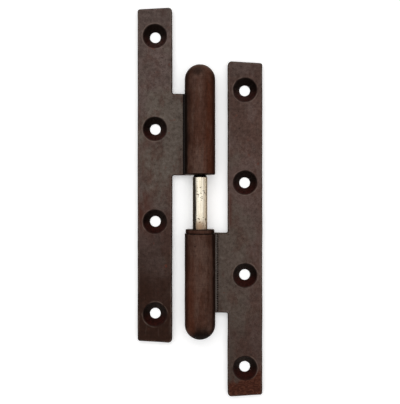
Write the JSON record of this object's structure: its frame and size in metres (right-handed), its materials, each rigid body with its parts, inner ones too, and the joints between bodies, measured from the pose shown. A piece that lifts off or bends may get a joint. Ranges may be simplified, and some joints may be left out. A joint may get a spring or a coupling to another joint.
{
  "type": "lift-off hinge",
  "caption": "Lift-off hinge with long strip leaves and round-ended knuckles; one half carries a bare pin and ring, the other a blind socket, lifted to the pin's tip.",
  "frame": {"origin": "on the pin's axis, in the plane where the socket half bears on the ring", "axes": "+X across the hinge from the socket half's leaf to the pin half's leaf, +Y along the pin towards its tip, +Z from the leaves' backs to their fronts"},
  "size_m": [0.052, 0.1622, 0.0126],
  "materials": {
    "browned_leaf": "dark brown finish over steel, satin, worn, with rust specks",
    "browned_knuckle": "dark red-brown finish over turned steel, satin",
    "browned_ring": "dark red-brown steel washer, satin",
    "bright_steel": "bare steel, bright, lightly scratched and stained"
  },
  "bodies": {
    "pin_half": {"pin_leaf": "browned_leaf", "pin_knuckle": "browned_knuckle", "hinge_pin": "bright_steel"},
    "ring": {"bearing_ring": "browned_ring"},
    "socket_half": {"socket_leaf": "browned_leaf", "socket_knuckle": "browned_knuckle"}
  },
  "joints": [
    {"name": "swing", "type": "hinge", "parent": "pin_half", "child": "ring", "pos_m": [0, 0, 0], "axis": [0, 1, 0], "range_deg": [-120, 190]},
    {"name": "lift_off", "type": "slide", "parent": "ring", "child": "socket_half", "axis": [0, 1, 0], "range_m": [-0.02235, 0.012]}
  ]
}
